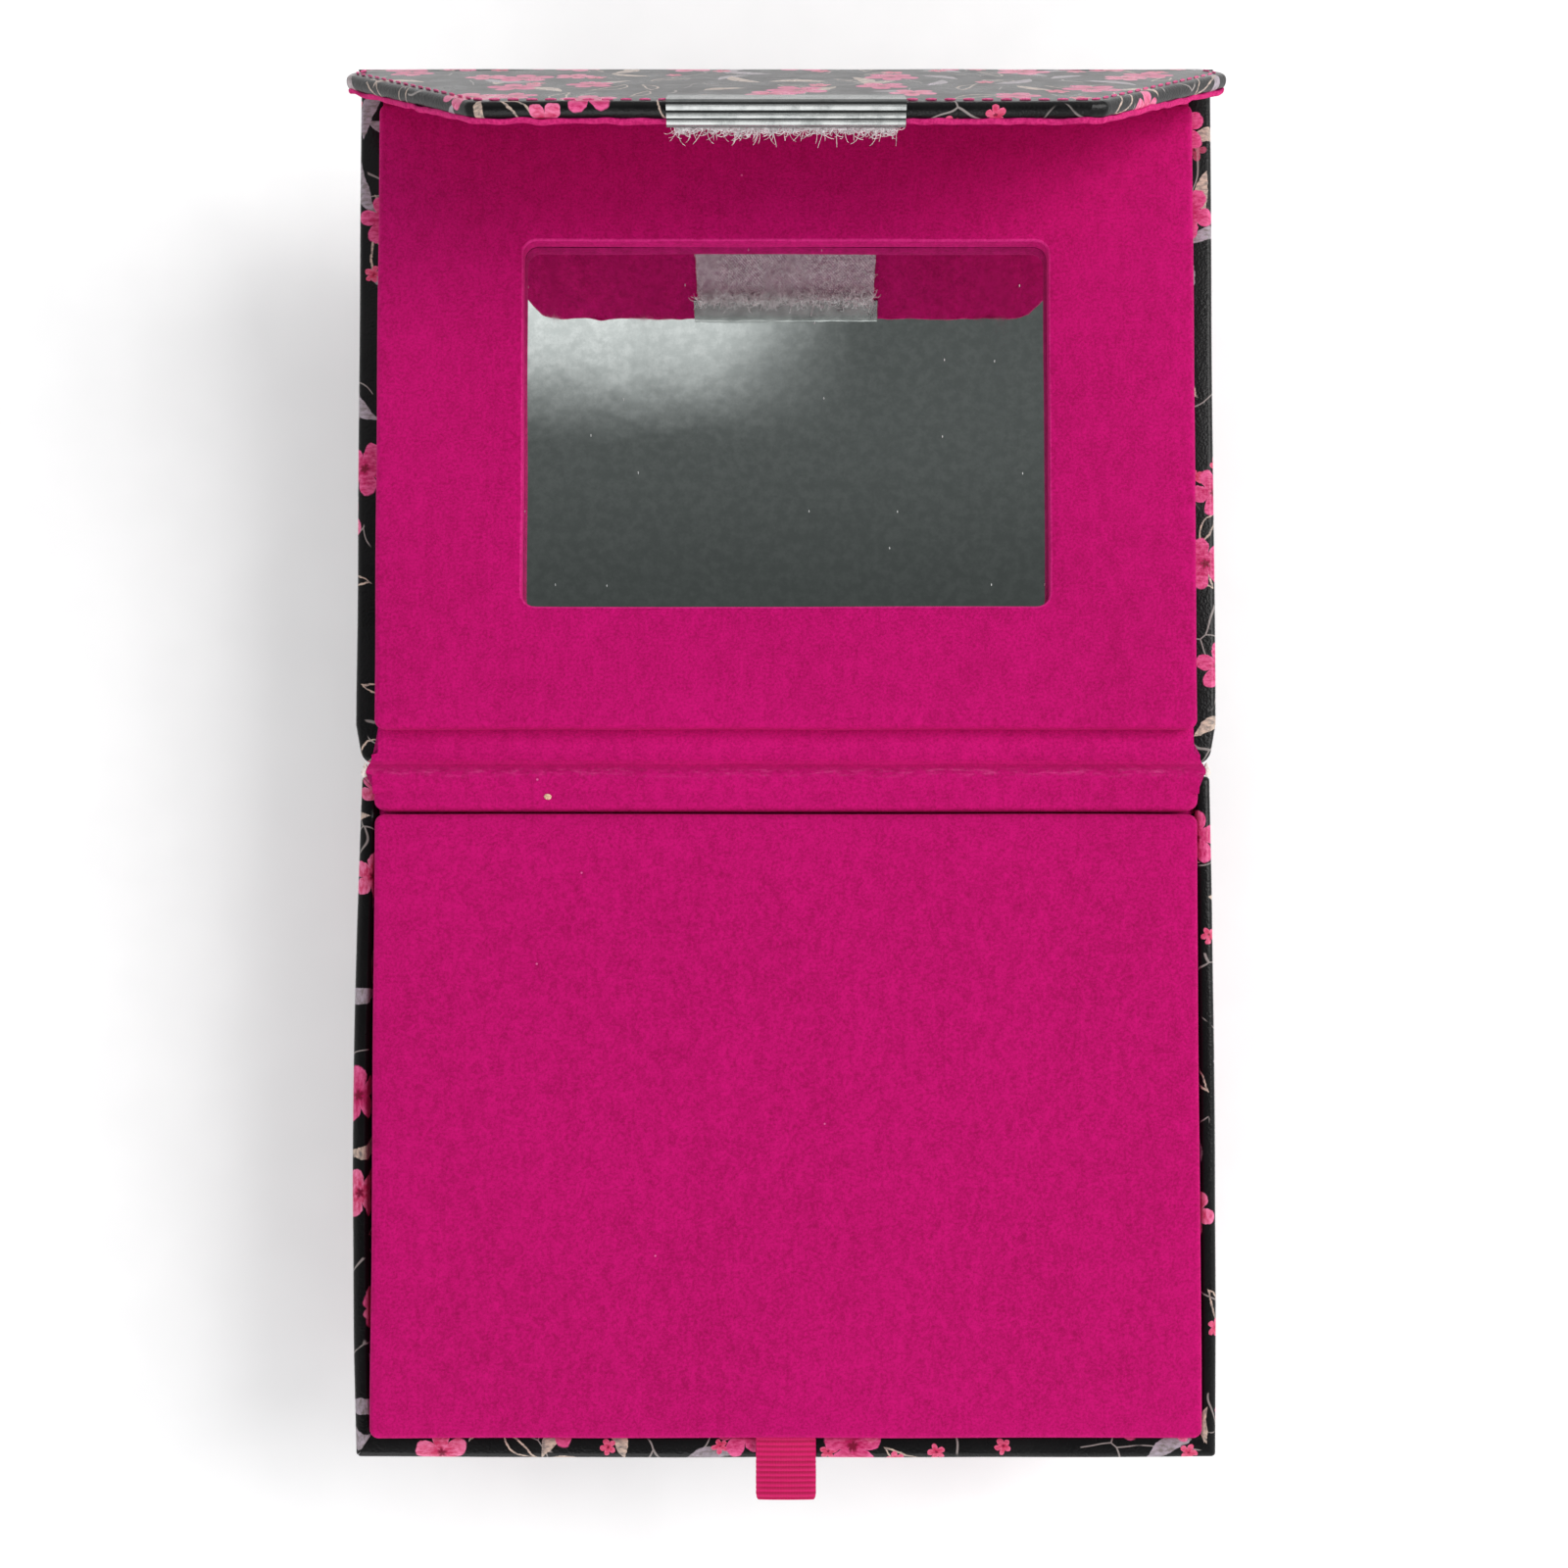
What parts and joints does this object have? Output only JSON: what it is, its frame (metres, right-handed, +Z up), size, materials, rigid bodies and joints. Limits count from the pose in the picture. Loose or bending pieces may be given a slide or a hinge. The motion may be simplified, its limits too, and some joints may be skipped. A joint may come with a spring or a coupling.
{
  "type": "jewelry box",
  "caption": "Fabric-lined box with a fold-back mirrored lid, a closing flap with a metal-edged hook-and-loop tab, and a hinged inner lid with a ribbon pull.",
  "frame": {"origin": "centre of the base's underside", "axes": "+Z up, +X to the right when facing the front wall, +Y towards the spine and the opened lid"},
  "size_m": [0.183, 0.3015, 0.1013],
  "materials": {
    "print_cover": "gloss",
    "velvet": "matte",
    "foam": "matte",
    "greyboard": "matte",
    "black_paper": "matte",
    "inner_lid_paper": "matte",
    "ribbon": "satin",
    "mirror_glass": "polished",
    "clip_metal": "polished",
    "hook_tape": "matte",
    "loop_tape": "matte"
  },
  "bodies": {
    "base": {"underside_sheet": "black_paper", "bottom_board": "greyboard", "front_wall": "print_cover", "back_wall": "print_cover", "left_wall": "print_cover", "right_wall": "print_cover", "front_liner": "velvet", "left_liner": "velvet", "right_liner": "velvet", "rear_ledge": "velvet", "floor_pad": "velvet", "long_divider": "velvet", "rear_left_divider": "velvet", "rear_right_divider": "velvet", "front_divider": "velvet", "ring_foam": "foam", "ring_rolls": "velvet", "hinge_roll": "velvet", "hook_patch": "hook_tape"},
    "inner_lid": {"inner_lid": "velvet", "inner_lid_backing": "inner_lid_paper", "ribbon_anchor": "ribbon"},
    "ribbon": {"ribbon_loop": "ribbon"},
    "spine": {"spine_cover": "print_cover", "spine_lining": "velvet"},
    "lid": {"lid_board": "print_cover", "lid_pad": "velvet", "mirror_glass": "mirror_glass", "mirror_backing": "black_paper", "lid_hinge_lining": "velvet"},
    "flap_strip": {"flap_crease": "print_cover"},
    "flap": {"flap_board": "print_cover", "flap_lining": "velvet", "edge_clip": "clip_metal", "loop_patch": "loop_tape"}
  },
  "joints": [
    {"name": "spine_lower_crease", "type": "hinge", "parent": "base", "child": "spine", "pos_m": [0, 0.0719, 0.0573], "axis": [-1, 0, 0], "range_deg": [-150, 0]},
    {"name": "spine_upper_crease", "type": "hinge", "parent": "spine", "child": "lid", "pos_m": [0, 0.0744, 0.05297], "axis": [-1, 0, 0], "range_deg": [-30, 0]},
    {"name": "flap_strip_crease", "type": "hinge", "parent": "lid", "child": "flap_strip", "pos_m": [0, 0.2216, 0.04947], "axis": [-1, 0, 0], "range_deg": [0, 90]},
    {"name": "flap_crease_fold", "type": "hinge", "parent": "flap_strip", "child": "flap", "pos_m": [0, 0.2216, 0.05337], "axis": [1, 0, 0], "range_deg": [-36, 8]},
    {"name": "inner_lid_hinge", "type": "hinge", "parent": "base", "child": "inner_lid", "pos_m": [0, 0.0633, 0.057], "axis": [-1, 0, 0], "range_deg": [0, 100]},
    {"name": "ribbon_fold", "type": "hinge", "parent": "inner_lid", "child": "ribbon", "pos_m": [0, -0.0724, 0.0538], "axis": [-1, 0, 0], "range_deg": [-90, 60]}
  ]
}
